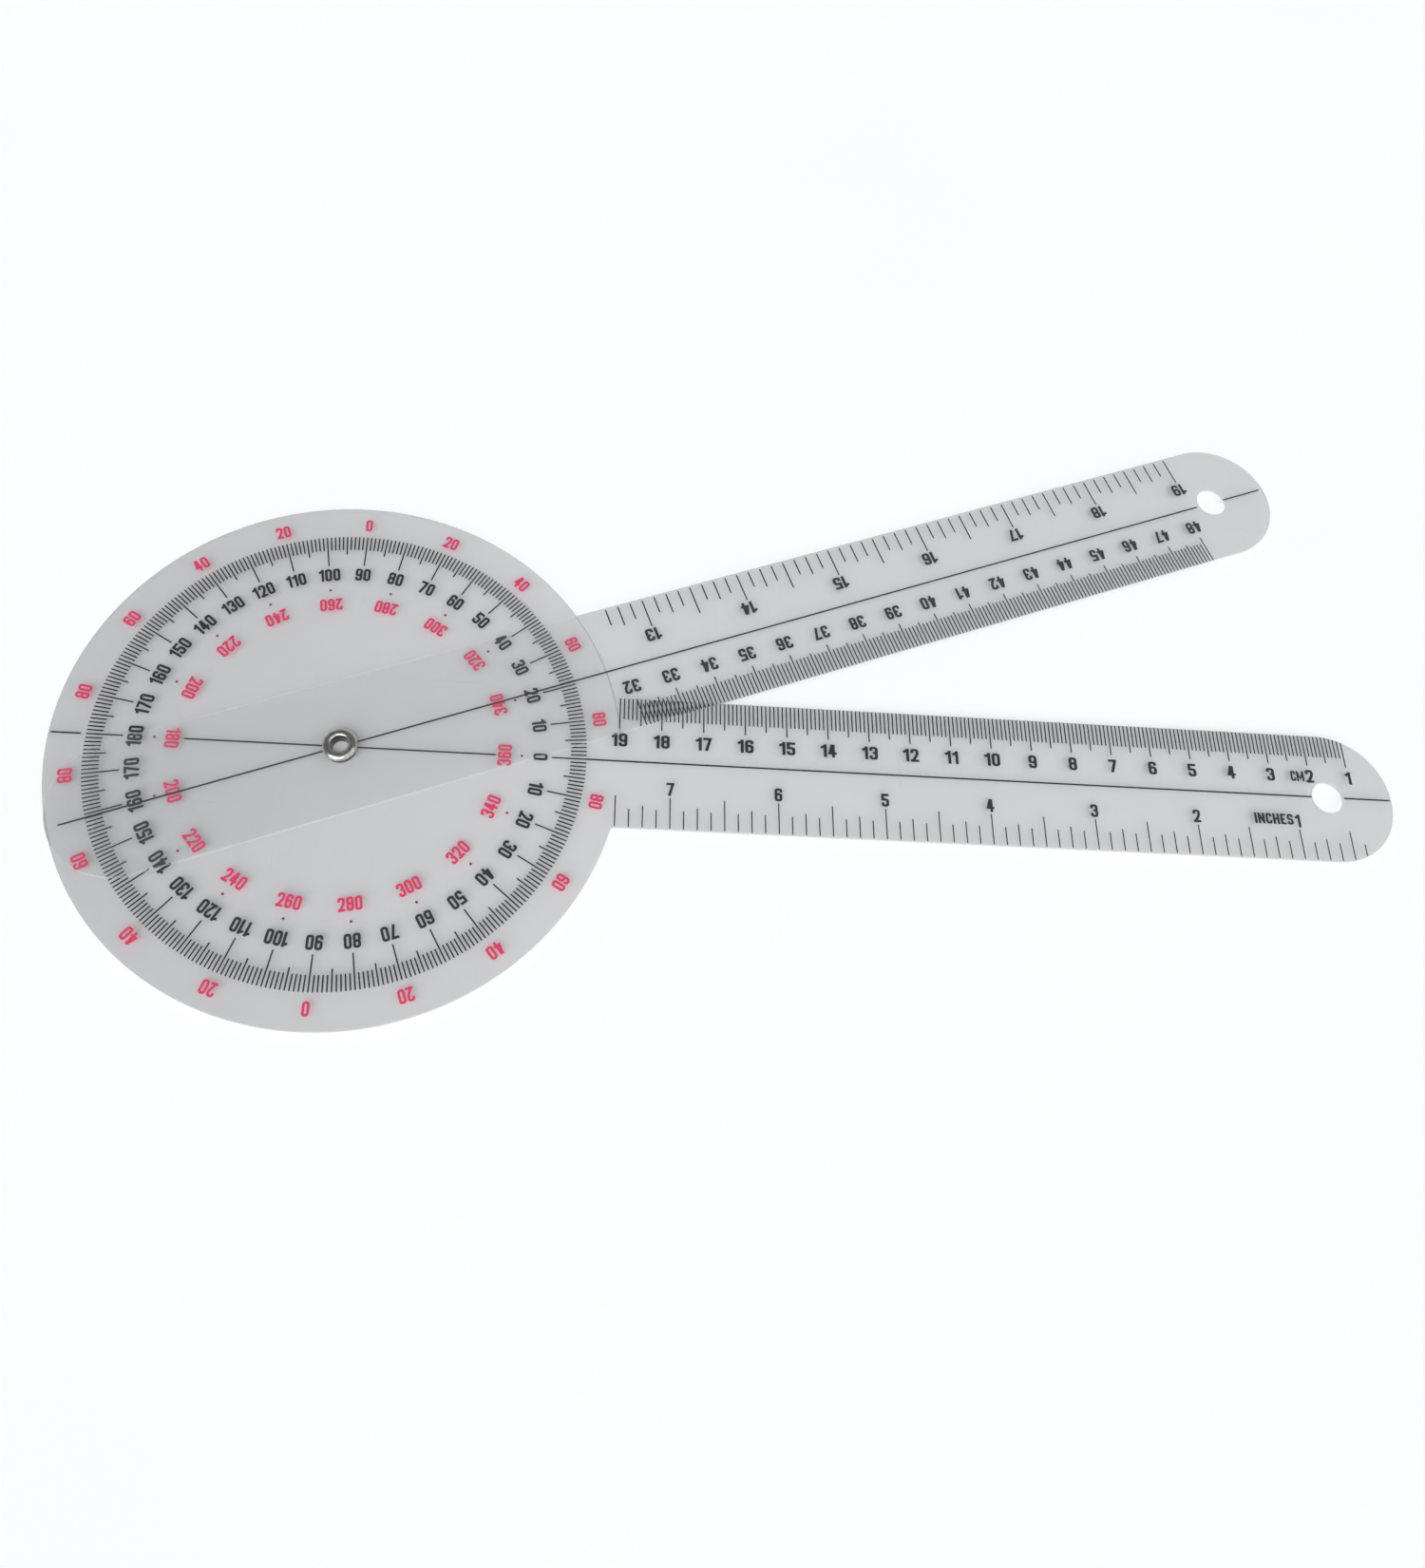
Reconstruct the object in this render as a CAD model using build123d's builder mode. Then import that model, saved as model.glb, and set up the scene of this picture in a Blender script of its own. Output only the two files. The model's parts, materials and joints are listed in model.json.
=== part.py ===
from build123d import *

import os
from math import cos, radians, sin

# Two-arm plastic protractor: a full-circle disc with a fixed arm, and a second arm that turns on an eyelet.
# The origin is on the pivot axis, at the underside of the disc. +X runs along the fixed arm, and +Z is the
# printed side. Lengths are in millimetres and angles in degrees.

# Sheets
SHEET_THICKNESS = 0.8
SHEET_GAP = 0.1
SHEET_EDGE_ROUND = 0.15

# Outlines
DISC_RADIUS = 64.8
ARM_HALF_WIDTH = 16.4
ARM_REACH = 254.0
INNER_CORNER_RADIUS = 1.0
HANGING_HOLE_RADIUS = 3.95
ARM_ANGLE = 20.84

# Eyelet
EYELET_BORE_RADIUS = 1.95
EYELET_WALL = 0.3
PIVOT_CLEARANCE = 0.05
CROWN_RADIUS = 4.0
CROWN_HEIGHT = 0.85
CROWN_CLEARANCE = 0.05
MOUTH_RADIUS = 0.6
CLINCH_RADIUS = 3.2
CLINCH_CURL_RADIUS = 0.35

# Backing washer
WASHER_RADIUS = 3.6
WASHER_THICKNESS = 0.3

# Values that follow from the ones above
TIP_CENTRE = ARM_REACH - ARM_HALF_WIDTH
TAIL_CENTRE = DISC_RADIUS - ARM_HALF_WIDTH
PIVOT_HOLE_RADIUS = EYELET_BORE_RADIUS + EYELET_WALL + PIVOT_CLEARANCE
ARM_BOTTOM = SHEET_THICKNESS + SHEET_GAP
ARM_TOP = ARM_BOTTOM + SHEET_THICKNESS
MOVING_TIP = (TIP_CENTRE * cos(radians(ARM_ANGLE)), TIP_CENTRE * sin(radians(ARM_ANGLE)))


def write(piece, name):
    """Labels a finished sub-part and writes its STEP file."""
    piece.part.label = name
    export_step(piece.part, f"parts/{name}.step")


def make_protractor_plate():
    """The disc and the fixed arm, cut from one sheet."""
    with BuildPart() as plate:
        with BuildSketch():
            Circle(DISC_RADIUS)
            with Locations((TIP_CENTRE / 2, 0)):
                Rectangle(TIP_CENTRE, 2 * ARM_HALF_WIDTH)
            corners = vertices().filter_by_position(Axis.X, 0, DISC_RADIUS)
            fillet(corners.group_by(Axis.X)[-1], INNER_CORNER_RADIUS)
            with Locations((TIP_CENTRE, 0)):
                Circle(ARM_HALF_WIDTH)
        extrude(amount=SHEET_THICKNESS)
        fillet(faces().filter_by(Axis.Z).edges(), SHEET_EDGE_ROUND)
        Hole(PIVOT_HOLE_RADIUS)
        with Locations((TIP_CENTRE, 0)):
            Hole(HANGING_HOLE_RADIUS)
    return plate


def make_moving_arm():
    """The arm above the disc: a strip with half-round ends that reaches past the pivot to the disc's far edge."""
    length = TIP_CENTRE + TAIL_CENTRE
    middle = (TIP_CENTRE - TAIL_CENTRE) / 2
    turned = Plane.XY.offset(ARM_BOTTOM).rotated((0, 0, ARM_ANGLE))
    with BuildPart() as arm:
        with BuildSketch(turned):
            with Locations((middle, 0)):
                SlotCenterToCenter(length, 2 * ARM_HALF_WIDTH)
        extrude(amount=SHEET_THICKNESS)
        fillet(faces().filter_by(Axis.Z).edges(), SHEET_EDGE_ROUND)
        with Locations((0, 0, ARM_TOP)):
            Hole(PIVOT_HOLE_RADIUS)
        with Locations((*MOVING_TIP, ARM_TOP)):
            Hole(HANGING_HOLE_RADIUS)
    return arm


def make_pivot_eyelet():
    """The hollow eyelet: a domed crown over the arm, a plain barrel, and an end curled outwards under the washer."""
    barrel = EYELET_BORE_RADIUS + EYELET_WALL / 2
    crown_edge = CROWN_RADIUS - EYELET_WALL / 2
    crown_seat = ARM_TOP + CROWN_CLEARANCE
    crown_top = ARM_TOP + CROWN_HEIGHT - EYELET_WALL / 2
    crown_middle = barrel + MOUTH_RADIUS
    clinch_edge = CLINCH_RADIUS - EYELET_WALL / 2
    curl_start = -WASHER_THICKNESS - EYELET_WALL / 2
    curl_bottom = curl_start - CLINCH_CURL_RADIUS
    with BuildPart() as eyelet:
        with BuildSketch(Plane.XZ):
            with BuildLine():
                lip = Line((clinch_edge, -WASHER_THICKNESS), (clinch_edge, curl_start))
                outer_curl = TangentArc(
                    lip @ 1, (clinch_edge - CLINCH_CURL_RADIUS, curl_bottom), tangent=(0, -1)
                )
                underside = Line(outer_curl @ 1, (barrel + CLINCH_CURL_RADIUS, curl_bottom))
                inner_curl = TangentArc(underside @ 1, (barrel, curl_start), tangent=(-1, 0))
                wall = Line(inner_curl @ 1, (barrel, crown_top - MOUTH_RADIUS))
                TangentArc(wall @ 1, (crown_middle, crown_top), tangent=(0, 1))
                EllipticalCenterArc(
                    (crown_middle, crown_seat), crown_edge - crown_middle, crown_top - crown_seat
                )
            trace(line_width=EYELET_WALL)
        revolve(axis=Axis.Z)
    return eyelet


def make_backing_washer():
    """The flat ring between the plate and the eyelet's curled end."""
    with BuildPart() as washer:
        with BuildSketch(Plane.XY.offset(-WASHER_THICKNESS)):
            Circle(WASHER_RADIUS)
            Circle(PIVOT_HOLE_RADIUS, mode=Mode.SUBTRACT)
        extrude(amount=WASHER_THICKNESS)
    return washer


def main():
    os.makedirs("parts", exist_ok=True)
    write(make_protractor_plate(), "protractor_plate")
    write(make_moving_arm(), "moving_arm")
    write(make_pivot_eyelet(), "pivot_eyelet")
    write(make_backing_washer(), "backing_washer")


main()
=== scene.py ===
import json
from math import atan2, cos, degrees, pi, radians, sin, sqrt

import bpy
from mathutils import Matrix, Vector
from mathutils.geometry import delaunay_2d_cdt, tessellate_polygon


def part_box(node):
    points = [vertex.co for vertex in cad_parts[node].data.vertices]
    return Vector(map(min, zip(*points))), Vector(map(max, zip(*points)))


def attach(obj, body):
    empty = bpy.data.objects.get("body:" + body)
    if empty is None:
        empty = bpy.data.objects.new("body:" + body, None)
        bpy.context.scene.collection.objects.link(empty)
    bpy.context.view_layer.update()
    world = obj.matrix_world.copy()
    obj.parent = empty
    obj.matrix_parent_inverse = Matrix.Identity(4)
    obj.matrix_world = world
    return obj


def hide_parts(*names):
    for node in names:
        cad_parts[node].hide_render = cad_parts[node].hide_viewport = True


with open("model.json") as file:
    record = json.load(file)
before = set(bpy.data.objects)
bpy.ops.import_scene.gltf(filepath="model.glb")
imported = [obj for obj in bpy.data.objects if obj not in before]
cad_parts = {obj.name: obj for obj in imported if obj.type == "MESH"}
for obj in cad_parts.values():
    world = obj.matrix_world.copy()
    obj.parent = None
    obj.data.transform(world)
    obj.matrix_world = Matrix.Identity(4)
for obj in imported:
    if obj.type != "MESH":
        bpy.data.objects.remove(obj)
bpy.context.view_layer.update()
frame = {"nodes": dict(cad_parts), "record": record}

# A two-arm protractor of clear plastic: a printed disc with a fixed arm, and a printed second arm that turns
# above it on a hollow nickel eyelet. Lengths are in millimetres until a mesh is made, and angles in degrees.
# x runs along the fixed arm. The moving arm is drawn along x too, and then turned into its place.

MM = 0.001
mounts = {mount["name"]: mount for mount in frame["record"]["mounts"]}


def box_in_mm(node):
    """The lowest and highest corner of a CAD node, in millimetres."""
    return [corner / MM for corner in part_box(node)]


def place_in_mm(mount):
    """Where a mount of the record is, in millimetres."""
    return Vector(mounts[mount]["pos_m"]) / MM


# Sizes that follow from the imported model
plate_low, plate_high = box_in_mm("protractor_plate")
arm_low, arm_high = box_in_mm("moving_arm")
eyelet_low, eyelet_high = box_in_mm("pivot_eyelet")
moving_tip = place_in_mm("moving_arm_hole")
DISC_RADIUS = plate_high.y
ARM_REACH = plate_high.x
TIP_CENTRE = place_in_mm("fixed_arm_hole").x
ARM_HALF_WIDTH = ARM_REACH - TIP_CENTRE
TAIL_CENTRE = DISC_RADIUS - ARM_HALF_WIDTH
HANGING_HOLE_RADIUS = mounts["fixed_arm_hole"]["dims"]["r_mm"]
ARM_TURN = degrees(atan2(moving_tip.y, moving_tip.x))
CROWN_RADIUS = eyelet_high.x
BORE_RADIUS = mounts["eyelet_bore"]["dims"]["r_mm"]

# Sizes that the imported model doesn't state
BARREL_WALL_AND_PLAY = 0.35
PIVOT_HOLE_RADIUS = BORE_RADIUS + BARREL_WALL_AND_PLAY
INNER_CORNER_RADIUS = 1.0
EDGE_ROUND = 0.15
FULL_TURN = 360

# How far the ink stands out of a sheet and reaches into it
INK_PROUD = 0.02
INK_BITE = 0.005

# How many short sides each round stretch is made of
DISC_STEPS = 270
ROUND_END_STEPS = 72
CORNER_STEPS = 10
DOT_STEPS = 20
CURVE_STEPS = 4

# Points closer than this are one point
SAME_POINT = 1e-6


# ---------------------------------------------------------------- flat shapes

def arc(centre, radius, start, end, steps):
    """Points along an arc, from one angle to another."""
    turns = [radians(start + (end - start) * k / steps) for k in range(steps + 1)]
    return [Vector((centre[0] + radius * cos(t), centre[1] + radius * sin(t))) for t in turns]


def joined(*stretches):
    """One closed loop of the stretches, without the points that two of them share."""
    loop = []
    for point in (p for stretch in stretches for p in stretch):
        if not loop or (point - loop[-1]).length > SAME_POINT:
            loop.append(point)
    if (loop[0] - loop[-1]).length < SAME_POINT:
        loop.pop()
    return loop


def inset(loop, distance):
    """The loop moved to its left by a distance. least_cosine holds back its sharp corners."""
    least_cosine = 0.5
    moved = []
    for k, point in enumerate(loop):
        before = (point - loop[k - 1]).normalized()
        after = (loop[(k + 1) % len(loop)] - point).normalized()
        along = (before + after).normalized()
        left = Vector((-along.y, along.x))
        moved.append(point + left * distance / max(least_cosine, along.dot(after)))
    return moved


def plate_outline():
    """The disc and the fixed arm, with a small round in each inner corner."""
    reach = DISC_RADIUS + INNER_CORNER_RADIUS
    rise = ARM_HALF_WIDTH + INNER_CORNER_RADIUS
    run = sqrt(reach ** 2 - rise ** 2)
    turn = degrees(atan2(rise, run))
    return joined(
        arc((TIP_CENTRE, 0), ARM_HALF_WIDTH, -90, 90, ROUND_END_STEPS),
        arc((run, rise), INNER_CORNER_RADIUS, 270, 180 + turn, CORNER_STEPS),
        arc((0, 0), DISC_RADIUS, turn, FULL_TURN - turn, DISC_STEPS),
        arc((run, -rise), INNER_CORNER_RADIUS, 180 - turn, 90, CORNER_STEPS),
    )


def arm_outline():
    """A strip with half-round ends."""
    return joined(
        arc((TIP_CENTRE, 0), ARM_HALF_WIDTH, -90, 90, ROUND_END_STEPS),
        arc((-TAIL_CENTRE, 0), ARM_HALF_WIDTH, 90, 270, ROUND_END_STEPS),
    )


def round_hole(x, radius):
    """A hole's loop, which runs the other way round."""
    return joined(arc((x, 0), radius, FULL_TURN, 0, ROUND_END_STEPS))


# ---------------------------------------------------------------- meshes

def new_piece(name, points, faces, smooth=()):
    """An object from points in millimetres. smooth holds the numbers of the faces that are shaded smooth."""
    mesh = bpy.data.meshes.new(name)
    mesh.from_pydata([Vector(p) * MM for p in points], [], faces)
    mesh.polygons.foreach_set("use_smooth", [k in smooth for k in range(len(faces))])
    mesh.validate()
    mesh.update()
    piece = bpy.data.objects.new(name, mesh)
    bpy.context.scene.collection.objects.link(piece)
    return piece


def upward(points, face):
    """The face, turned over if it winds clockwise."""
    corners = [points[k] for k in face]
    area = sum(a[0] * b[1] - b[0] * a[1] for a, b in zip(corners, corners[1:] + corners[:1]))
    return tuple(face) if area > 0 else tuple(reversed(face))


def sheet_piece(name, loops, bottom, top, turn=0):
    """A flat sheet with rounded edges. The first loop is its outline and the others are its holes."""
    quarter = [pi / 2 * k / CURVE_STEPS for k in range(CURVE_STEPS + 1)]
    lower = [(EDGE_ROUND * (1 - sin(t)), bottom + EDGE_ROUND * (1 - cos(t))) for t in quarter]
    upper = [(EDGE_ROUND * (1 - cos(t)), top - EDGE_ROUND * (1 - sin(t))) for t in quarter]
    profile = lower + upper
    turned = Matrix.Rotation(radians(turn), 2)
    points, faces, first = [], [], []
    for loop in loops:
        first.append(len(points))
        for distance, z in profile:
            points += [(*(turned @ p), z) for p in inset(loop, distance)]
    for start, loop in zip(first, loops):
        size = len(loop)
        for ring in range(len(profile) - 1):
            for k in range(size):
                a, b = start + ring * size + k, start + ring * size + (k + 1) % size
                faces.append((a, b, b + size, a + size))
    band = range(len(faces))
    for ring, is_top in ((0, False), (len(profile) - 1, True)):
        index = [s + ring * len(loop) + k for s, loop in zip(first, loops) for k in range(len(loop))]
        rings = []
        for s, loop in zip(first, loops):
            rings.append([Vector(points[s + ring * len(loop) + k]) for k in range(len(loop))])
        for triangle in tessellate_polygon(rings):
            face = upward(points, [index[k] for k in triangle])
            faces.append(face if is_top else tuple(reversed(face)))
    return new_piece(name, points, faces, band)


def print_piece(name, marks, bottom, top, turn=0):
    """All the marks of one kind as thin raised ink. A mark is its points and its faces, seen from above."""
    turned = Matrix.Rotation(radians(turn), 2)
    points, faces = [], []
    for mark_points, mark_faces in marks:
        low = len(points)
        high = low + len(mark_points)
        flat = [turned @ p for p in mark_points]
        points += [(*p, bottom) for p in flat] + [(*p, top) for p in flat]
        edges = {(a, b) for face in mark_faces for a, b in zip(face, face[1:] + face[:1])}
        faces += [tuple(high + k for k in face) for face in mark_faces]
        faces += [tuple(low + k for k in reversed(face)) for face in mark_faces]
        rim = sorted((a, b) for a, b in edges if (b, a) not in edges)
        faces += [(low + a, low + b, high + b, high + a) for a, b in rim]
    return new_piece(name, points, faces)


# ---------------------------------------------------------------- marks

def bar(start, end, width):
    """A straight printed line."""
    start, end = Vector(start), Vector(end)
    along = (end - start).normalized()
    side = Vector((-along.y, along.x)) * width / 2
    return [start - side, end - side, end + side, start + side], [(0, 1, 2, 3)]


def outward(angle):
    """The direction away from the pivot, at an angle."""
    return Vector((cos(radians(angle)), sin(radians(angle))))


def spoke(angle, inner, outer, width):
    """A printed line that points at the pivot."""
    out = outward(angle)
    return bar(out * inner, out * outer, width)


def dot(angle, distance, radius):
    """A printed dot, at a distance from the pivot."""
    rim = joined(arc(outward(angle) * distance, radius, 0, FULL_TURN, DOT_STEPS))
    return rim, [tuple(range(len(rim)))]


# Condensed bold digits and letters. Each is its width, as a share of its height, and its strokes: whether the
# stroke closes, and the points of its middle line. Those run from 0 to 1 across and up the space that the
# stroke's own width leaves. A third value of 0 makes a corner sharp.
STROKE = 0.18
FLUSH = STROKE / 2 / (1 - STROKE)
LETTER_CORNER = 0.13
LETTER_SPACE = 0.08
DIGIT_WIDTH = 0.5
UP, DOWN = 1 + FLUSH, -FLUSH
SIDE = STROKE / 2 / (DIGIT_WIDTH - STROKE)
GLYPHS = {
    "0": (DIGIT_WIDTH, [(True, [(0, 0), (1, 0), (1, 1), (0, 1)])]),
    "1": (0.36, [
        (False, [(1, DOWN, 0), (1, UP, 0)]),
        (False, [(1, 0.95, 0), (0.3, 0.86, 0), (-0.4, 0.76, 0)]),
    ]),
    "2": (DIGIT_WIDTH, [
        (False, [(0, 0.7), (0, 1), (1, 1), (1, 0.6), (0.04, DOWN, 0)]),
        (False, [(-SIDE, 0, 0), (1 + SIDE, 0, 0)]),
    ]),
    "3": (DIGIT_WIDTH, [
        (False, [(0, 0.72), (0, 1), (1, 1), (1, 0.53), (0.35, 0.53)]),
        (False, [(0.35, 0.53), (1, 0.53), (1, 0), (0, 0), (0, 0.28)]),
    ]),
    "4": (DIGIT_WIDTH, [
        (False, [(0.5, UP, 0), (0, 0.28, 0), (1 + SIDE, 0.28, 0)]),
        (False, [(0.68, UP, 0), (0.68, DOWN, 0)]),
    ]),
    "5": (DIGIT_WIDTH, [
        (False, [(1 + SIDE, 1, 0), (0, 1, 0), (0, 0.56, 0), (1, 0.56), (1, 0), (0, 0), (0, 0.28)]),
    ]),
    "6": (DIGIT_WIDTH, [
        (False, [(1, 0.74), (1, 1), (0, 1), (0, 0), (1, 0), (1, 0.56), (0, 0.56)]),
    ]),
    "7": (DIGIT_WIDTH, [(False, [(-SIDE, 1, 0), (1, 1, 0), (0.3, DOWN, 0)])]),
    "8": (DIGIT_WIDTH, [
        (True, [(0, 0), (1, 0), (1, 0.53), (0, 0.53)]),
        (True, [(0, 0.53), (1, 0.53), (1, 1), (0, 1)]),
    ]),
    "9": (DIGIT_WIDTH, [
        (False, [(0, 0.26), (0, 0), (1, 0), (1, 1), (0, 1), (0, 0.44), (1, 0.44)]),
    ]),
    "C": (0.48, [(False, [(1, 0.7), (1, 1), (0, 1), (0, 0), (1, 0), (1, 0.3)])]),
    "E": (0.44, [
        (False, [(1 + SIDE, 1, 0), (0, 1, 0), (0, 0, 0), (1 + SIDE, 0, 0)]),
        (False, [(0, 0.5, 0), (0.9, 0.5, 0)]),
    ]),
    "H": (0.5, [
        (False, [(0, DOWN, 0), (0, UP, 0)]),
        (False, [(1, DOWN, 0), (1, UP, 0)]),
        (False, [(0, 0.5, 0), (1, 0.5, 0)]),
    ]),
    "I": (STROKE, [(False, [(0, DOWN, 0), (0, UP, 0)])]),
    "M": (0.7, [
        (False, [(0, DOWN, 0), (0, UP, 0)]),
        (False, [(0, 1, 0), (0.5, 0.2, 0), (1, 1, 0)]),
        (False, [(1, DOWN, 0), (1, UP, 0)]),
    ]),
    "N": (0.52, [
        (False, [(0, DOWN, 0), (0, UP, 0)]),
        (False, [(0, 1, 0), (1, 0, 0)]),
        (False, [(1, DOWN, 0), (1, UP, 0)]),
    ]),
    "S": (0.47, [
        (False, [(1, 0.74), (1, 1), (0, 1), (0, 0.52), (1, 0.48), (1, 0), (0, 0), (0, 0.26)]),
    ]),
}


def rounded(points, corners, closes):
    """The stroke's middle line, with each corner turned into a short curve."""
    line = []
    last = len(points) - 1
    for k, point in enumerate(points):
        if not closes and k in (0, last):
            line.append(point)
            continue
        before, after = points[k - 1], points[(k + 1) % len(points)]
        reach = min(corners[k], (before - point).length / 2, (after - point).length / 2)
        if reach < SAME_POINT:
            line.append(point)
            continue
        start = point + (before - point).normalized() * reach
        end = point + (after - point).normalized() * reach
        for step in range(CURVE_STEPS + 1):
            t = step / CURVE_STEPS
            line.append(start * (1 - t) ** 2 + point * 2 * t * (1 - t) + end * t ** 2)
    return line


def ordered(corners):
    """Corners in anticlockwise order about their middle, so that no side crosses another."""
    middle = sum(corners, Vector((0, 0))) / len(corners)
    return sorted(corners, key=lambda p: atan2(p.y - middle.y, p.x - middle.x))


def stroke_quads(line, closes):
    """The four-sided cells of a stroke along a middle line. least_cosine holds back its sharp corners."""
    least_cosine = 0.6
    sides = []
    for k, point in enumerate(line):
        before = point - line[k - 1] if closes or k else line[1] - point
        after = line[(k + 1) % len(line)] - point if closes or k < len(line) - 1 else before
        before, after = before.normalized(), after.normalized()
        along = (before + after).normalized()
        side = Vector((-along.y, along.x)) * STROKE / 2 / max(least_cosine, along.dot(after))
        sides.append((point - side, point + side))
    pairs = list(zip(sides, sides[1:]))
    if closes:
        pairs.append((sides[-1], sides[0]))
    return [ordered([*a, *b]) for a, b in pairs]


def glyph_mark(character):
    """One character, one unit high, as a single flat shape without overlaps."""
    merge_distance = 1e-5
    width, strokes = GLYPHS[character]
    points, faces = [], []
    for closes, middle in strokes:
        line = []
        corners = []
        for x, y, *round_share in middle:
            line.append(Vector((STROKE / 2 + x * (width - STROKE), STROKE / 2 + y * (1 - STROKE))))
            corners.append(LETTER_CORNER * (round_share[0] if round_share else 1))
        line = rounded(line, corners, closes)
        for quad in stroke_quads(line, closes):
            faces.append(tuple(range(len(points), len(points) + 4)))
            points += quad
    flat, _, cells, _, _, sources = delaunay_2d_cdt(points, [], faces, 0, merge_distance)
    inside = [upward(flat, cell) for cell, source in zip(cells, sources) if source]
    return flat, inside, width


glyph_marks = {character: glyph_mark(character) for character in GLYPHS}


def lettering(text, x, y, height, turn=0, stretch=1):
    """The marks of a number or word, centred on a point. stretch makes them wider but no higher."""
    widths = [glyph_marks[c][2] for c in text]
    pen = -(sum(widths) + LETTER_SPACE * (len(text) - 1)) / 2
    turned = Matrix.Rotation(radians(turn), 2)
    marks = []
    for character, width in zip(text, widths):
        flat, inside, _ = glyph_marks[character]
        placed = []
        for p in flat:
            upright = Vector(((p.x + pen) * stretch, p.y - 0.5)) * height
            placed.append(turned @ upright + Vector((x, y)))
        marks.append((placed, inside))
        pen += width + LETTER_SPACE
    return marks


def number_on_circle(value, angle, distance, height, turn):
    """A number at an angle and distance from the pivot, turned from its place on the circle."""
    place = outward(angle) * distance
    return lettering(str(value), place.x, place.y, height, angle + turn)


# ---------------------------------------------------------------- scales

# The ring of degree ticks: its outer end, where each kind of tick ends towards the pivot, and their width
RING_OUTER = 56.5
ANY_DEGREE, EVERY_FIVE, EVERY_TEN = 52.8, 51.5, 48.4
DEGREE_TICK_WIDTH = 0.345

# The three rings of numbers and the ring of dots, as distances from the pivot
OUTER_NUMBERS_AT = 60
DEGREE_NUMBERS_AT = 45.8
DOTS_AT = 41.5
INNER_NUMBERS_AT = 37.5
DEGREE_NUMBER_HEIGHT = 3.35
RED_NUMBER_HEIGHT = 3.2
DOT_RADIUS = 0.32
TOP_OUTWARD, TOP_INWARD = -90, 90

# The centre lines: where their stretches start and end, along the arm
CENTRE_LINE_WIDTH = 0.4
FIXED_TAIL_STRETCH = (-64.3, -57.6)
INNER_LINE_START, INNER_LINE_END = -35, 35.5
MOVING_LINE_START = -62.2
LINE_TO_TIP = 0.5
EDGE_GAP = 0.2
BEFORE_HOLE = TIP_CENTRE - HANGING_HOLE_RADIUS - EDGE_GAP
PAST_HOLE = (TIP_CENTRE + HANGING_HOLE_RADIUS + EDGE_GAP, ARM_REACH - LINE_TO_TIP)

# The rulers. The ticks' inner ends, or their lengths, are given with the shortest kind of tick first.
INCH = 25.4
MM_TICK_WIDTH = 0.315
FIXED_MM_TICK_ENDS = (10.7, 9.2, 8.3)
MOVING_MM_TICK_ENDS = (10.6, 9.9, 8.9)
INCH_TICK_LENGTHS = (4.6, 5.5, 7.7)
FIXED_INCH_TICK_WIDTH = 0.28
MOVING_INCH_TICK_WIDTH = 0.34
MOVING_COUNT_AT_PIVOT = 250.8
MOVING_INCH_NUMBERS_BACK = 0.4

# The rulers' rows of numbers: each one's place across the arm, its height and its stretch
FIXED_CENTIMETRE_ROW = (5.4, 3.35, 1.22)
FIXED_INCH_ROW = (-6.5, 3.25, 1.12)
MOVING_CENTIMETRE_ROW = (-5.45, 3.4, 1.1)
MOVING_INCH_ROW = (6.45, 3.4, 1.22)
UPRIGHT, UPSIDE_DOWN = 0, 180

# The unit names
CM_AT = (230.8, 5.3)
INCHES_AT = (222.6, -6.2)
INCHES_STRETCH = 1.2
UNIT_NAME_HEIGHT = 2.7


def degree_ticks():
    """One tick for each degree, longer at the fives and the tens."""
    marks = []
    for angle in range(FULL_TURN):
        inner = EVERY_TEN if angle % 10 == 0 else EVERY_FIVE if angle % 5 == 0 else ANY_DEGREE
        marks.append(spoke(angle, inner, RING_OUTER, DEGREE_TICK_WIDTH))
    return marks


def both_halves(first, last, step):
    """Angles from first to last on the disc's upper half, and their mirror images on its lower half."""
    upper = list(range(first, last + 1, step))
    return upper + [-angle for angle in upper if angle % 180]


def degree_numbers():
    """0 to 180 both ways round, just inside the ticks."""
    marks = []
    for angle in both_halves(0, 180, 10):
        marks += number_on_circle(
            abs(angle), angle, DEGREE_NUMBERS_AT, DEGREE_NUMBER_HEIGHT, TOP_OUTWARD
        )
    return marks


def outer_numbers():
    """The angle from a square corner, outside the ticks."""
    marks = []
    for angle in both_halves(10, 170, 20):
        from_square = abs(90 - abs(angle))
        marks += number_on_circle(from_square, angle, OUTER_NUMBERS_AT, RED_NUMBER_HEIGHT, TOP_OUTWARD)
    return marks


def inner_numbers():
    """The rest of the full turn, inside the degree numbers and read from the middle."""
    marks = []
    for angle in both_halves(0, 180, 20):
        rest_of_turn = FULL_TURN - abs(angle)
        marks += number_on_circle(rest_of_turn, angle, INNER_NUMBERS_AT, RED_NUMBER_HEIGHT, TOP_INWARD)
    return marks


def inner_dots():
    """A dot beside each of the inner numbers."""
    return [dot(angle, DOTS_AT, DOT_RADIUS) for angle in both_halves(0, 180, 20)]


def level_line(*stretches):
    """A line along the middle of an arm, drawn in stretches."""
    return [bar((start, 0), (end, 0), CENTRE_LINE_WIDTH) for start, end in stretches]


def edge_at(x):
    """How far from an arm's middle line its ticks start, just inside its outline at x."""
    past = max(0, x - TIP_CENTRE)
    return sqrt(ARM_HALF_WIDTH ** 2 - past ** 2) - EDGE_GAP


def centimetre_ticks(first, last, place, side, inner):
    """Millimetre ticks on one edge of an arm. inner holds the inner ends of the 1, 5 and 10 mm ticks."""
    every_one, every_five, every_ten = inner
    marks = []
    for tick in range(first * 10, last * 10 + 1):
        x = place(tick)
        end = every_ten if tick % 10 == 0 else every_five if tick % 5 == 0 else every_one
        marks.append(bar((x, side * edge_at(x)), (x, side * end), MM_TICK_WIDTH))
    return marks


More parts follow.
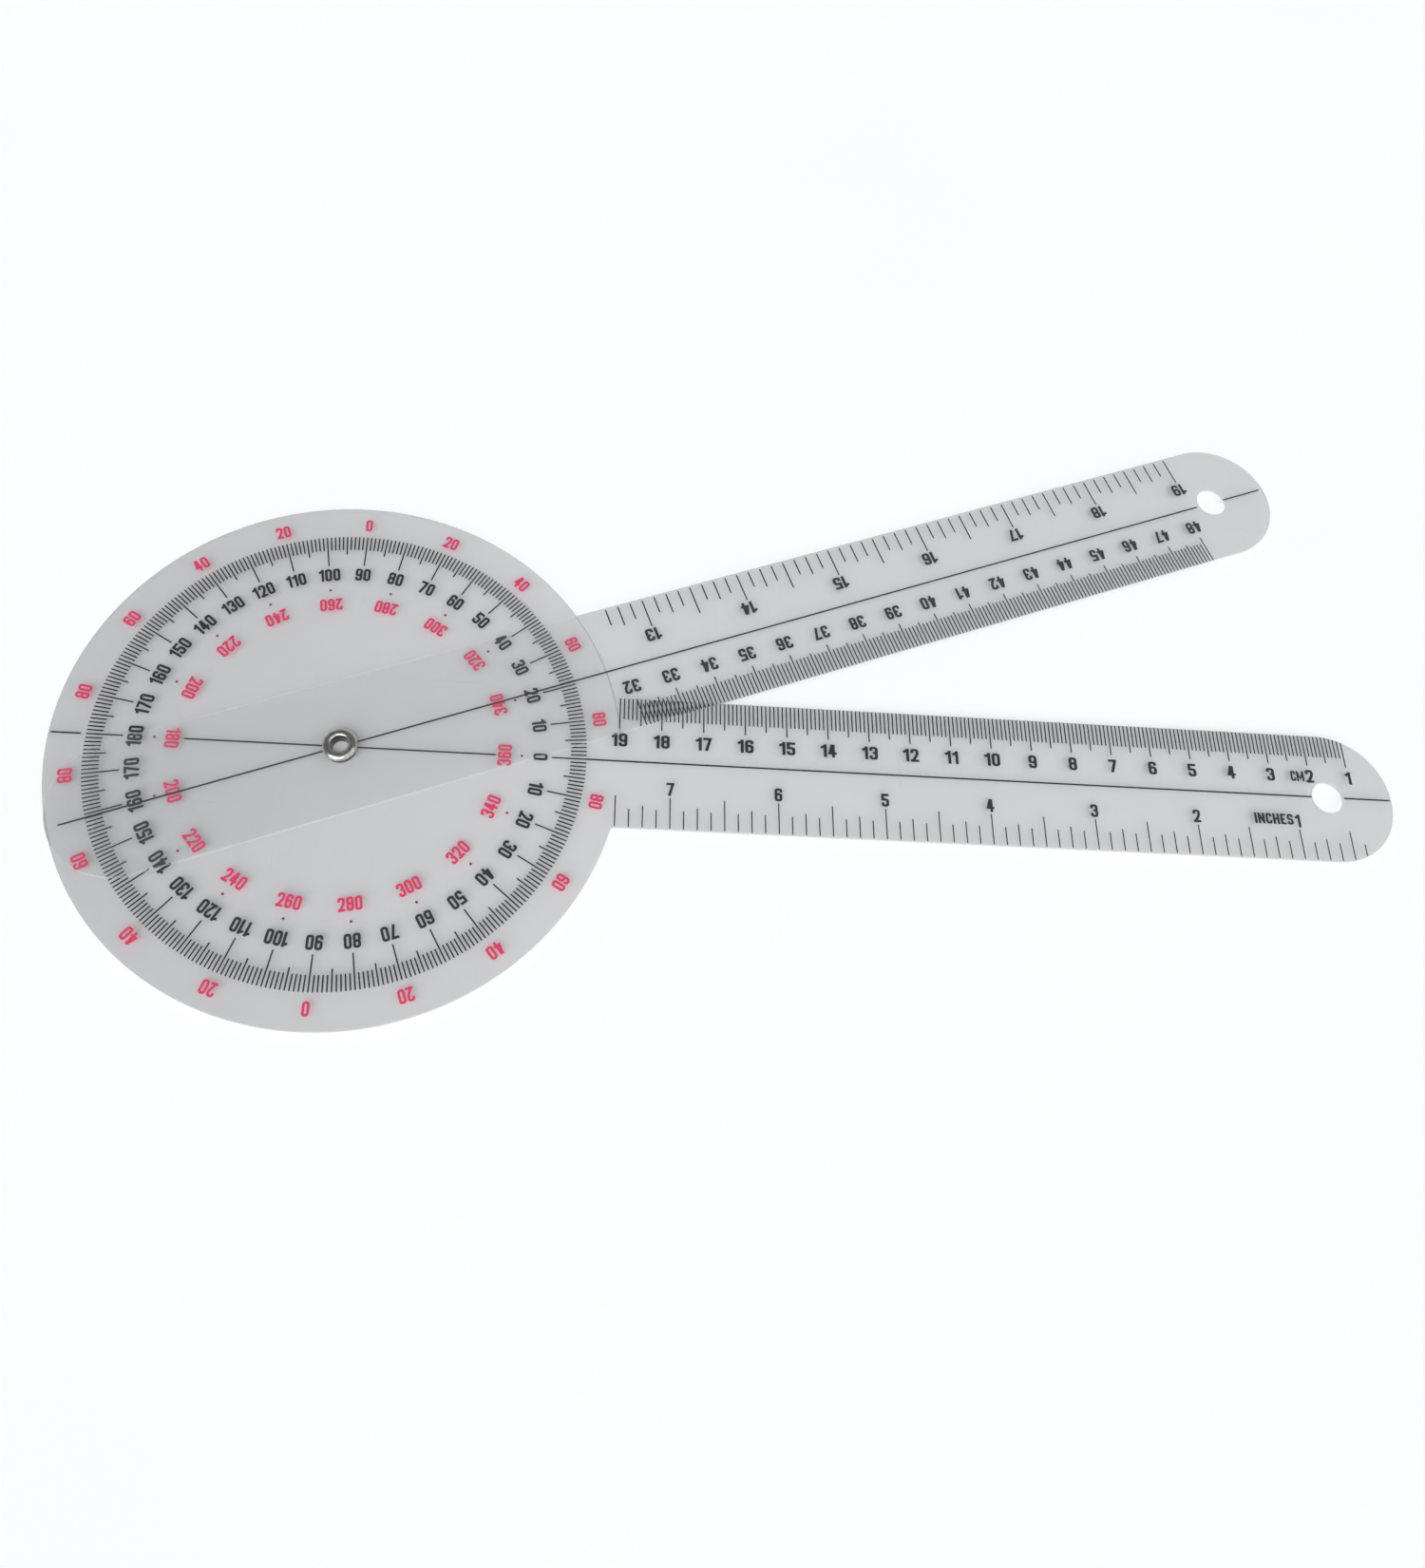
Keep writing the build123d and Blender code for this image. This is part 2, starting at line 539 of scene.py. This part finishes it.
def inch_ticks(first, last, place, side, width):
    """Ticks of an eighth of an inch on one edge of an arm, from and to a count of eighths."""
    eighth, quarter, half = INCH_TICK_LENGTHS
    marks = []
    for eighths in range(first, last + 1):
        x = place(eighths)
        length = half if eighths % 4 == 0 else quarter if eighths % 2 == 0 else eighth
        marks.append(bar((x, side * edge_at(x)), (x, side * (ARM_HALF_WIDTH - length)), width))
    return marks


def scale_numbers(values, place, row, turn):
    """A row of numbers along an arm. row holds its place across the arm, its height and its stretch."""
    y, height, stretch = row
    marks = []
    for value in values:
        marks += lettering(str(value), place(value), y, height, turn, stretch)
    return marks


def fixed_mm(count):
    """Where a millimetre mark is on the fixed arm, which counts from its tip."""
    return ARM_REACH - count


def moving_mm(count):
    """Where a millimetre mark is on the moving arm, which carries the count on."""
    return count - MOVING_COUNT_AT_PIVOT


def fixed_inch(count):
    """Where an inch mark is on the fixed arm."""
    return fixed_mm(count * INCH)


def moving_inch(count):
    """Where an inch mark is on the moving arm."""
    return moving_mm(count * INCH)


# ---------------------------------------------------------------- materials

def material_tree(name):
    """A new material, its node tree and its output node."""
    material = bpy.data.materials.new(name)
    material.use_nodes = True
    tree = material.node_tree
    tree.nodes.clear()
    return material, tree, tree.nodes.new("ShaderNodeOutputMaterial")


def add(tree, kind, inputs=None, **settings):
    """A node with its settings and its inputs, each input a value or an output of another node."""
    made = tree.nodes.new(kind)
    for key, value in settings.items():
        setattr(made, key, value)
    for key, value in (inputs or {}).items():
        if isinstance(value, bpy.types.NodeSocket):
            tree.links.new(value, made.inputs[key])
        else:
            made.inputs[key].default_value = value
    return made


def colour_mix(tree, factor, first, second):
    """A colour between two others."""
    made = add(tree, "ShaderNodeMix", {0: factor, 6: first, 7: second}, data_type="RGBA")
    return made.outputs[2]


def ranged(tree, value, low, high, to_low, to_high):
    """A value carried from one range to another, and held inside it."""
    made = add(tree, "ShaderNodeMapRange", {0: value, 1: low, 2: high, 3: to_low, 4: to_high})
    return made.outputs[0]


def calculated(tree, operation, *values):
    """What an arithmetic operation, such as ADD or MAXIMUM, makes of one or two values."""
    return add(tree, "ShaderNodeMath", dict(enumerate(values)), operation=operation).outputs[0]


def from_pivot(tree):
    """How far a point is from the pivot's axis, in metres."""
    place = add(tree, "ShaderNodeTexCoord").outputs["Object"]
    level = add(tree, "ShaderNodeVectorMath", {0: place, 1: (1, 1, 0)}, operation="MULTIPLY").outputs[0]
    return add(tree, "ShaderNodeVectorMath", {0: level}, operation="LENGTH").outputs["Value"]


def noise(tree, scale, detail, stretch=(1, 1, 1), turn=0.0):
    """Noise over the object's own place, scale in waves a metre. stretch and turn draw it out one way."""
    place = add(tree, "ShaderNodeTexCoord").outputs["Object"]
    mapped = add(tree, "ShaderNodeMapping", {"Vector": place, "Scale": stretch, "Rotation": (0, 0, turn)})
    made = add(tree, "ShaderNodeTexNoise", {"Vector": mapped.outputs[0], "Scale": scale, "Detail": detail})
    return made.outputs["Fac"]


# The range that most of a noise's values are in
MOST_NOISE = (0.3, 0.7)

PLASTIC_IOR = 1.49
GLOSS_COLOUR = (1, 1, 1, 1)
GLOSS_ROUGHNESS = (0.1, 0.28)

# What one side of a sheet lets the camera see through: the sheet's own grey tint with painted shade in it,
# deeper at one end along x and paler at the other, a painted fall-off of the light
DEEPER_TINT_AND_SHADE = (0.744, 0.748, 0.758, 1)
PALER_TINT_AND_SHADE = (0.811, 0.814, 0.822, 1)
NO_TINT = (1, 1, 1, 1)
SHADE_FALLOFF_FROM, SHADE_FALLOFF_TO = -55 * MM, 60 * MM
SHEET_SIDES = 2
RIM_BLEND = 0.8

# How milky the sheets are: over their faces, in a scratch and at a cut edge
BODY_HAZE = (0.01, 0.018)
SCUFF_HAZE = (0.0, 0.02)
EDGE_HAZE = 0.14
BODY_HAZE_COLOUR = (0.8, 0.81, 0.83, 1)
EDGE_HAZE_COLOUR = (0.74, 0.75, 0.76, 1)

# The ranges of the scratches' noise that roughen the gloss and that look milky, and how level a surface is
# from where it counts as cut edge to where it counts as face
ALL_SCRATCHES = (0.3, 0.8)
DEEP_SCRATCHES = (0.62, 0.8)
EDGE_TO_FACE = (0.35, 0.95)


def clear_plastic(name, over_disc):
    """Clear sheet: nearly all see-through, with a little haze, fine scratches and hazier cut edges.

    What the camera sees through a sheet is darkened by a grey tint that is partly the sheet's own and partly
    painted shade. The painted shade stands in for the shadow that the sheet would cast on the floor beneath,
    while lamps' light passes untinted. Where sheets overlap, what is behind them is darkened once: by the
    disc over its own area, so that its print stays bright under the arm, and elsewhere by the first sheet.
    """
    material, tree, output = material_tree(name)
    path = add(tree, "ShaderNodeLightPath")
    passed = path.outputs["Transparent Depth"]
    first = calculated(tree, "LESS_THAN", passed, SHEET_SIDES - 0.5)
    place = add(tree, "ShaderNodeTexCoord").outputs["Object"]
    along = add(tree, "ShaderNodeSeparateXYZ", {0: place}).outputs["X"]
    # Painted shade: the tint deepens towards -x, standing in for light that falls off across the protractor,
    # on top of the sheet's own grey
    tint_with_painted_shade = colour_mix(tree, ranged(tree, along, SHADE_FALLOFF_FROM, SHADE_FALLOFF_TO, 0.0, 1.0), DEEPER_TINT_AND_SHADE, PALER_TINT_AND_SHADE)
    reach = from_pivot(tree)
    if over_disc:
        past = ranged(tree, reach, (DISC_RADIUS - RIM_BLEND) * MM, DISC_RADIUS * MM, 0.0, 1.0)
        darkens = calculated(tree, "MULTIPLY", first, past)
    else:
        within = calculated(tree, "LESS_THAN", reach, DISC_RADIUS * MM)
        darkens = calculated(tree, "MAXIMUM", first, within)
    # Painted shade: only camera rays are tinted, so what shows through is darkened as if the sheet shaded the
    # floor, while lamps' light passes untinted
    seen = calculated(tree, "MULTIPLY", darkens, path.outputs["Is Camera Ray"])
    camera_tint_with_shade = colour_mix(tree, seen, NO_TINT, tint_with_painted_shade)
    through = add(tree, "ShaderNodeBsdfTransparent", {"Color": camera_tint_with_shade})

    geometry = add(tree, "ShaderNodeNewGeometry")
    upright = add(tree, "ShaderNodeSeparateXYZ", {0: geometry.outputs["Normal"]}).outputs["Z"]
    edge = ranged(tree, calculated(tree, "ABSOLUTE", upright), *EDGE_TO_FACE, 1.0, 0.0)

    cloud = noise(tree, scale=60.0, detail=4.0)
    scratch = noise(tree, scale=900.0, detail=2.0, stretch=(1, 0.04, 1), turn=0.5)
    cross_scratch = noise(tree, scale=900.0, detail=2.0, stretch=(0.03, 1, 1), turn=-0.3)
    scuffed = calculated(tree, "MAXIMUM", scratch, cross_scratch)
    scuff = ranged(tree, scuffed, *DEEP_SCRATCHES, *SCUFF_HAZE)
    body_haze = calculated(tree, "ADD", ranged(tree, cloud, *MOST_NOISE, *BODY_HAZE), scuff)
    haze = add(tree, "ShaderNodeMix", {0: edge, 2: body_haze, 3: EDGE_HAZE}).outputs[0]
    haze_colour = colour_mix(tree, edge, BODY_HAZE_COLOUR, EDGE_HAZE_COLOUR)
    milky = add(tree, "ShaderNodeBsdfDiffuse", {"Color": haze_colour})
    hazed = add(tree, "ShaderNodeMixShader", {0: haze, 1: through.outputs[0], 2: milky.outputs[0]})

    roughness = ranged(tree, scuffed, *ALL_SCRATCHES, *GLOSS_ROUGHNESS)
    gloss = add(tree, "ShaderNodeBsdfAnisotropic", {"Color": GLOSS_COLOUR, "Roughness": roughness})
    mirror = add(tree, "ShaderNodeFresnel", {"IOR": PLASTIC_IOR})
    outside = ranged(tree, geometry.outputs["Backfacing"], 0.0, 1.0, 1.0, 0.0)
    shine = calculated(tree, "MULTIPLY", mirror.outputs[0], outside)
    surface = add(tree, "ShaderNodeMixShader", {0: shine, 1: hazed.outputs[0], 2: gloss.outputs[0]})
    tree.links.new(surface.outputs[0], output.inputs["Surface"])
    return material


INK_ROUGHNESS = (0.42, 0.6)
THIN_PATCHES = (0.45, 0.75)


def printing_ink(name, colour, worn_colour):
    """Screen-printed ink: satin, with a fine grain and slightly thinner patches."""
    material, tree, output = material_tree(name)
    thin = ranged(tree, noise(tree, scale=2500.0, detail=4.0), *THIN_PATCHES, 0.0, 1.0)
    shade = colour_mix(tree, thin, colour, worn_colour)
    grain = noise(tree, scale=9000.0, detail=2.0)
    bump = add(tree, "ShaderNodeBump", {"Strength": 0.15, "Distance": 0.00001, "Height": grain})
    principled = add(tree, "ShaderNodeBsdfPrincipled", {
        "Base Color": shade,
        "Roughness": ranged(tree, grain, *MOST_NOISE, *INK_ROUGHNESS),
        "Normal": bump.outputs[0],
    })
    tree.links.new(principled.outputs[0], output.inputs["Surface"])
    return material


# Painted shade: the plating is painted dark inside the bore, where shade falls, and turns bright over this
# distance past the bore's edge
PAINTED_BORE_SHADE = (0.085, 0.085, 0.07, 1)
MOUTH_BLEND = 0.22
DULL_PATCHES = (0.4, 0.7)


def worn_metal(name, bright, dull, smoothest, roughest):
    """Plated metal with fine turning marks and duller patches, and painted shade that darkens it inside the
    eyelet's bore.
    """
    material, tree, output = material_tree(name)
    patch = noise(tree, scale=700.0, detail=5.0)
    fine = noise(tree, scale=5000.0, detail=3.0, stretch=(1, 1, 0.2))
    outer = colour_mix(tree, ranged(tree, patch, *DULL_PATCHES, 0.0, 1.0), bright, dull)
    # Painted shade: the plating's colour goes dark inside the eyelet's bore
    bore_shade = ranged(tree, from_pivot(tree), BORE_RADIUS * MM, (BORE_RADIUS + MOUTH_BLEND) * MM, 1.0, 0.0)
    bump = add(tree, "ShaderNodeBump", {"Strength": 0.12, "Distance": 0.00003, "Height": fine})
    principled = add(tree, "ShaderNodeBsdfPrincipled", {
        "Base Color": colour_mix(tree, bore_shade, outer, PAINTED_BORE_SHADE),
        "Metallic": 1.0,
        "Roughness": ranged(tree, patch, *MOST_NOISE, smoothest, roughest),
        "Normal": bump.outputs[0],
    })
    tree.links.new(principled.outputs[0], output.inputs["Surface"])
    return material


DARKER_PAPER = (0.955, 0.955, 0.955, 1)
LIGHTER_PAPER = (0.97, 0.97, 0.97, 1)


def studio_floor(name):
    """Plain pale paper."""
    material, tree, output = material_tree(name)
    tone = ranged(tree, noise(tree, scale=8.0, detail=2.0), *MOST_NOISE, 0.0, 1.0)
    colour = colour_mix(tree, tone, DARKER_PAPER, LIGHTER_PAPER)
    paper = add(tree, "ShaderNodeBsdfDiffuse", {"Color": colour})
    tree.links.new(paper.outputs[0], output.inputs["Surface"])
    return material


plate_plastic = clear_plastic("plate_plastic", over_disc=False)
arm_plastic = clear_plastic("arm_plastic", over_disc=True)
black = printing_ink("black_print", (0.014, 0.016, 0.02, 1), (0.03, 0.033, 0.04, 1))
red = printing_ink("red_print", (0.69, 0.026, 0.1, 1), (0.76, 0.06, 0.15, 1))
dark_red = printing_ink("overprinted_dots", (0.2, 0.02, 0.05, 1), (0.26, 0.04, 0.08, 1))
nickel = worn_metal(
    "nickel_plate", (0.5, 0.495, 0.455, 1), (0.32, 0.32, 0.29, 1), smoothest=0.11, roughest=0.26
)
steel = worn_metal(
    "washer_plate", (0.55, 0.55, 0.53, 1), (0.4, 0.4, 0.39, 1), smoothest=0.28, roughest=0.45
)


# ---------------------------------------------------------------- pieces

def finish_piece(piece, material, body, replaced=()):
    """Gives a piece its material and its body."""
    piece.data.materials.append(material)
    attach(piece, body)
    if replaced:
        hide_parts(*replaced)


def make_sheets():
    """The two clear sheets, in place of the plain CAD ones."""
    pivot_hole = round_hole(0, PIVOT_HOLE_RADIUS)
    hanging_hole = round_hole(TIP_CENTRE, HANGING_HOLE_RADIUS)
    plate = sheet_piece(
        "plate_sheet", [plate_outline(), pivot_hole, hanging_hole], plate_low.z, plate_high.z
    )
    finish_piece(plate, plate_plastic, "base", ["protractor_plate"])
    arm = sheet_piece(
        "arm_sheet", [arm_outline(), pivot_hole, hanging_hole], arm_low.z, arm_high.z, ARM_TURN
    )
    finish_piece(arm, arm_plastic, "arm", ["moving_arm"])


def print_on_plate(name, marks, ink=black):
    """Ink on the upper side of the disc or the fixed arm."""
    piece = print_piece(name, marks, plate_high.z - INK_BITE, plate_high.z + INK_PROUD)
    finish_piece(piece, ink, "base")


def print_under_arm(name, marks):
    """Ink on the underside of the moving arm, which faces the disc."""
    piece = print_piece(name, marks, arm_low.z - INK_PROUD, arm_low.z + INK_BITE, ARM_TURN)
    finish_piece(piece, black, "arm")


def print_disc():
    """The full circle of ticks and its three rings of numbers."""
    print_on_plate("degree_ticks", degree_ticks())
    print_on_plate("degree_numbers", degree_numbers())
    print_on_plate("outer_numbers", outer_numbers(), red)
    print_on_plate("inner_numbers", inner_numbers(), red)
    print_on_plate("inner_dots", inner_dots(), dark_red)


def print_fixed_arm():
    """The centre line through the disc, and the centimetre and inch scales that count from the tip."""
    print_on_plate("fixed_centre_line", level_line(
        FIXED_TAIL_STRETCH, (INNER_LINE_START, -CROWN_RADIUS), (CROWN_RADIUS, INNER_LINE_END),
        (RING_OUTER, BEFORE_HOLE), PAST_HOLE,
    ))
    print_on_plate("fixed_centimetre_ticks", centimetre_ticks(
        first=1, last=19, place=fixed_mm, side=1, inner=FIXED_MM_TICK_ENDS
    ))
    print_on_plate("fixed_centimetre_numbers", scale_numbers(
        range(1, 20), lambda count: fixed_mm(10 * count), FIXED_CENTIMETRE_ROW, UPRIGHT
    ))
    print_on_plate("fixed_inch_ticks", inch_ticks(
        first=3, last=60, place=lambda eighths: fixed_inch(eighths / 8), side=-1,
        width=FIXED_INCH_TICK_WIDTH
    ))
    print_on_plate("fixed_inch_numbers", scale_numbers(range(1, 8), fixed_inch, FIXED_INCH_ROW, UPRIGHT))
    centimetres = lettering("CM", *CM_AT, UNIT_NAME_HEIGHT)
    inches = lettering("INCHES", *INCHES_AT, UNIT_NAME_HEIGHT, UPRIGHT, INCHES_STRETCH)
    print_on_plate("fixed_unit_names", centimetres + inches)


def print_moving_arm():
    """The centre line past the pivot, and the scales that carry on from the fixed arm's."""
    print_under_arm("moving_centre_line", level_line(
        (MOVING_LINE_START, -CROWN_RADIUS), (CROWN_RADIUS, BEFORE_HOLE), PAST_HOLE,
    ))
    print_under_arm("moving_centimetre_ticks", centimetre_ticks(
        first=32, last=48, place=moving_mm, side=-1, inner=MOVING_MM_TICK_ENDS
    ))
    print_under_arm("moving_centimetre_numbers", scale_numbers(
        range(32, 49), lambda count: moving_mm(10 * count), MOVING_CENTIMETRE_ROW, UPSIDE_DOWN
    ))
    print_under_arm("moving_inch_ticks", inch_ticks(
        first=101, last=152, place=lambda eighths: moving_inch(eighths / 8), side=1,
        width=MOVING_INCH_TICK_WIDTH
    ))
    print_under_arm("moving_inch_numbers", scale_numbers(
        range(13, 20), lambda count: moving_inch(count) - MOVING_INCH_NUMBERS_BACK,
        MOVING_INCH_ROW, UPSIDE_DOWN
    ))


def dress_metal():
    """The eyelet and the washer keep their CAD shape and get their finish."""
    for node, material in (("pivot_eyelet", nickel), ("backing_washer", steel)):
        for holder in frame["nodes"][node].material_slots:
            holder.material = material


make_sheets()
print_disc()
print_fixed_arm()
print_moving_arm()
dress_metal()


# ---------------------------------------------------------------- floor, light and camera

def make_floor():
    """A wide pale floor that the clinched end of the eyelet stands on."""
    half = 3000.0
    corners = [(-half, -half), (half, -half), (half, half), (-half, half)]
    floor = new_piece("floor", [(x, y, eyelet_low.z) for x, y in corners], [(0, 1, 2, 3)])
    floor.data.materials.append(studio_floor("paper_floor"))


HORIZON = (0.9, 0.905, 0.915, 1)
OVERHEAD = (0.22, 0.225, 0.235, 1)
OVERHEAD_FROM = 0.6


def make_world():
    """Plain surroundings, dim overhead and bright at the horizon."""
    world = bpy.data.worlds.new("studio")
    world.use_nodes = True
    tree = world.node_tree
    tree.nodes.clear()
    direction = add(tree, "ShaderNodeTexCoord").outputs["Generated"]
    height = add(tree, "ShaderNodeSeparateXYZ", {0: direction}).outputs["Z"]
    colour = colour_mix(tree, ranged(tree, height, 0.0, OVERHEAD_FROM, 0.0, 1.0), HORIZON, OVERHEAD)
    background = add(tree, "ShaderNodeBackground", {"Color": colour, "Strength": 1.0})
    output = add(tree, "ShaderNodeOutputWorld")
    tree.links.new(background.outputs[0], output.inputs["Surface"])
    bpy.context.scene.world = world


def make_softbox(name, towards, spread, strength):
    """A large soft light, far away in a direction, which lights the whole floor evenly."""
    light = bpy.data.lights.new(name, "SUN")
    light.angle = radians(spread)
    light.energy = strength
    lamp = bpy.data.objects.new(name, light)
    lamp.rotation_euler = (-Vector(towards)).to_track_quat("-Z", "Y").to_euler()
    bpy.context.scene.collection.objects.link(lamp)


def make_camera():
    """Above and in front of the disc, looking down at the whole protractor."""
    data = bpy.data.cameras.new("camera")
    data.sensor_fit = "AUTO"
    data.sensor_width = 36.0
    data.lens = 27.066
    data.shift_x = 0.03843
    data.shift_y = -0.01485
    data.clip_start = 0.01
    data.clip_end = 20.0
    camera = bpy.data.objects.new("camera", data)
    camera.location = Vector((51.37, -106.82, 254.04)) * MM
    camera.rotation_euler = [radians(turn) for turn in (22.808, -5.073, 1.075)]
    bpy.context.scene.collection.objects.link(camera)
    bpy.context.scene.camera = camera


make_floor()
make_world()
make_softbox("key", towards=(-0.3, -0.6, 0.75), spread=60, strength=1.85)
make_softbox("fill", towards=(0.5, -0.35, 0.8), spread=70, strength=1.1)
make_camera()
bpy.context.scene.view_settings.view_transform = "Standard"
